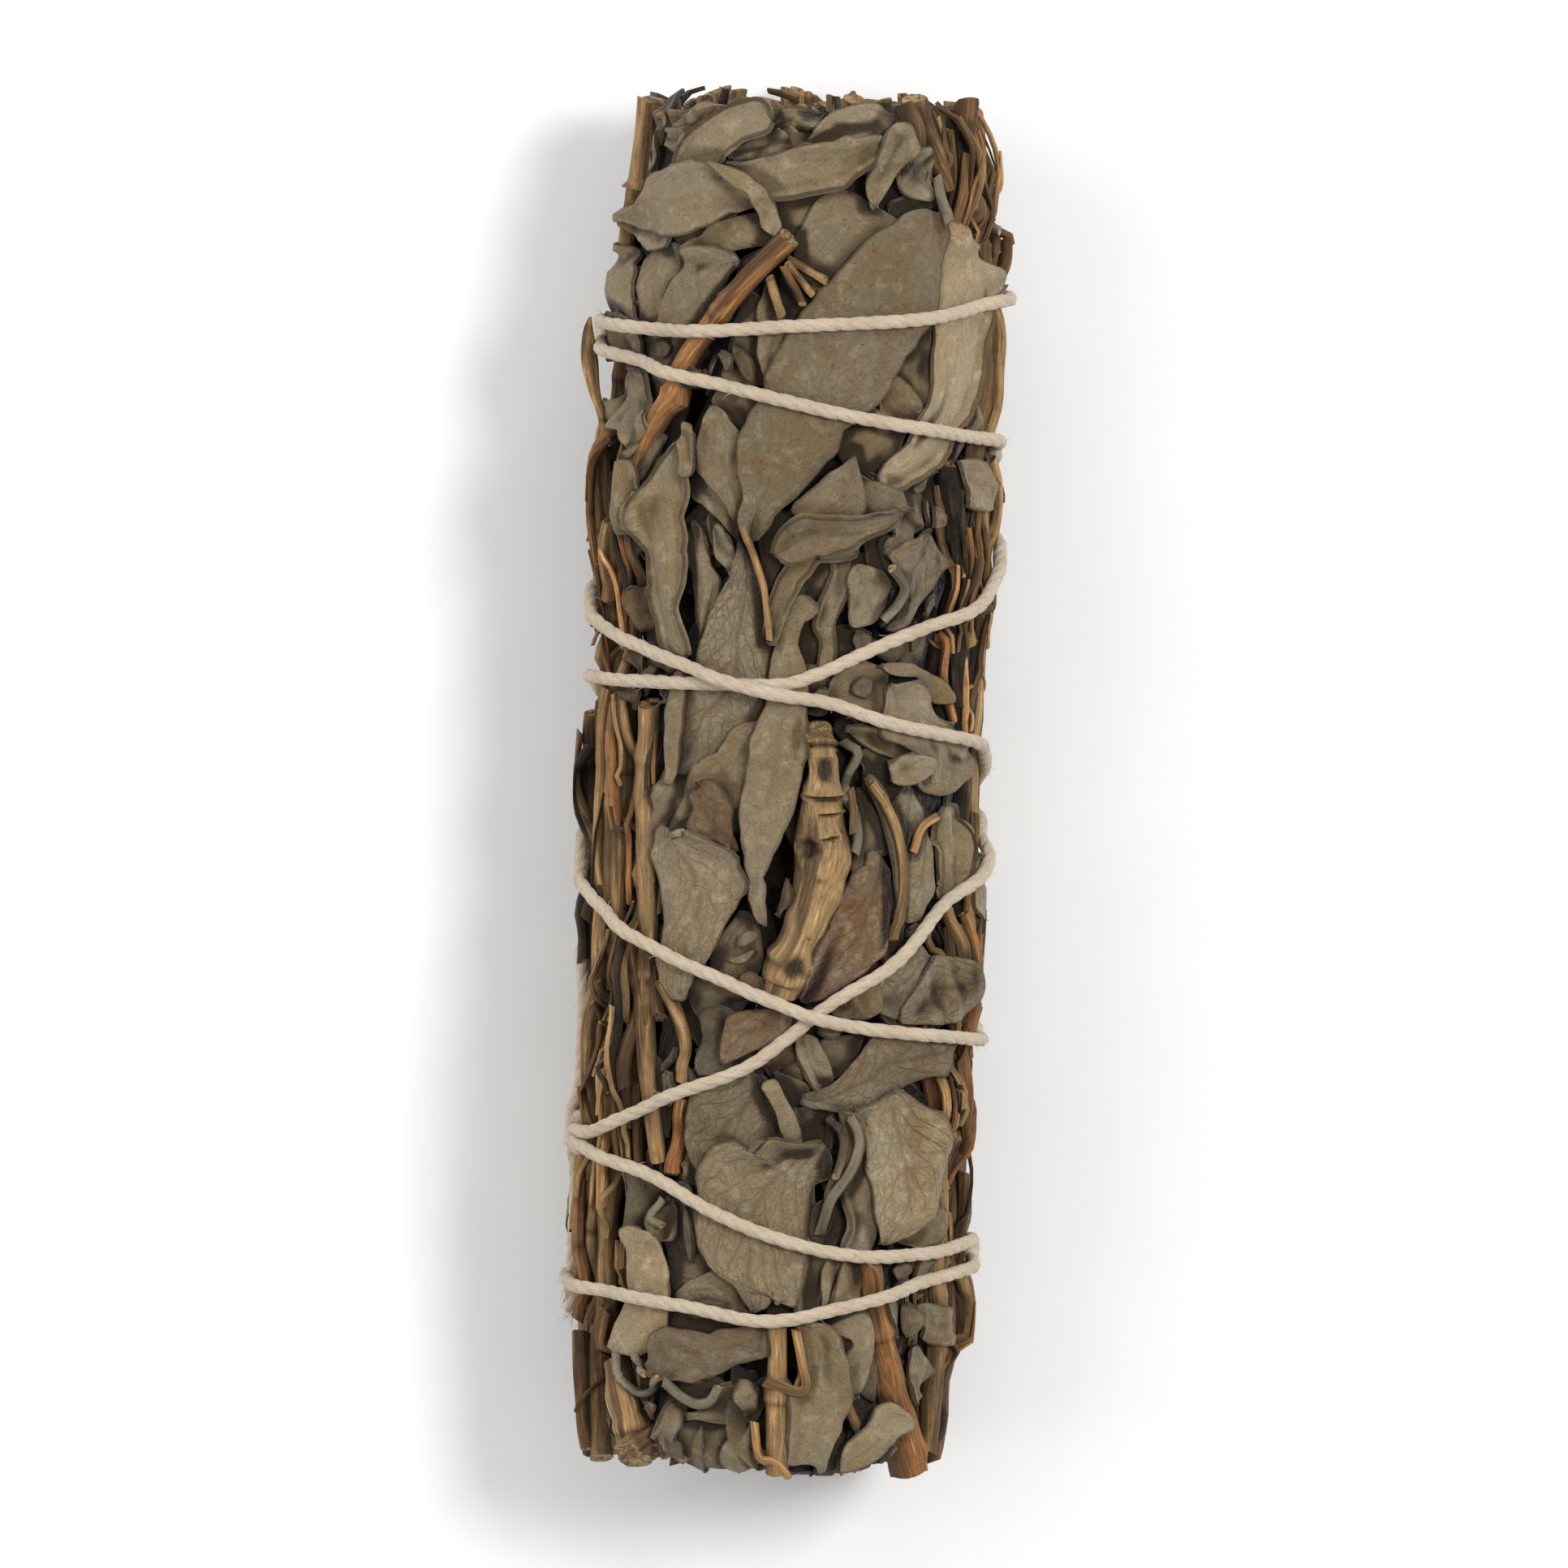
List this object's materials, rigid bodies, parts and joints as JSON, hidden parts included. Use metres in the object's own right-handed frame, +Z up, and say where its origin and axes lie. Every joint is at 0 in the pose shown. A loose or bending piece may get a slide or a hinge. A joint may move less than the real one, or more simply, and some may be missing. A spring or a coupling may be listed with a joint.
{
  "type": "dried sage bunch",
  "caption": "Short dried white sage bundle: folded leaves and woody stems bound along their length with crossing turns of cotton twine.",
  "frame": {"origin": "middle of the bundle's box, on the surface that it lies on", "axes": "+Y along the bundle to its leafy end, +X to the right seen from above with that end away, +Z up"},
  "size_m": [0.0346, 0.112, 0.0326],
  "materials": {
    "dried_leaf": "matte felted dry leaf, grey-green to tan",
    "woody_stem": "dry ribbed tan to reddish stem",
    "dark_bark": "rough split grey-brown bark",
    "cotton_twine": "soft twisted undyed cotton"
  },
  "bodies": {
    "root": {"long_front_stem": "woody_stem", "knotty_stem": "woody_stem", "thick_lower_stem": "woody_stem", "thin_lower_stem": "woody_stem", "cut_face_stem": "woody_stem", "lower_right_stem": "woody_stem", "inner_left_stem": "woody_stem", "bark_right_stem": "dark_bark", "top_right_stem": "woody_stem", "top_cut_stem": "woody_stem", "top_left_stem": "woody_stem", "left_stem_1": "woody_stem", "left_stem_2": "dark_bark", "left_stem_3": "woody_stem", "left_stem_4": "woody_stem", "left_stem_5": "dark_bark", "left_stem_6": "woody_stem", "left_stem_7": "woody_stem", "left_stem_8": "dark_bark", "right_stem_9": "woody_stem", "right_stem_10": "woody_stem", "right_stem_11": "dark_bark", "right_stem_12": "woody_stem", "right_stem_13": "woody_stem", "inner_stem_1": "woody_stem", "inner_stem_2": "woody_stem", "inner_stem_3": "woody_stem", "inner_stem_4": "woody_stem", "inner_stem_5": "woody_stem", "inner_stem_6": "woody_stem", "inner_stem_7": "woody_stem", "leaf_bunch": "dried_leaf", "twine": "cotton_twine"}
  },
  "joints": []
}
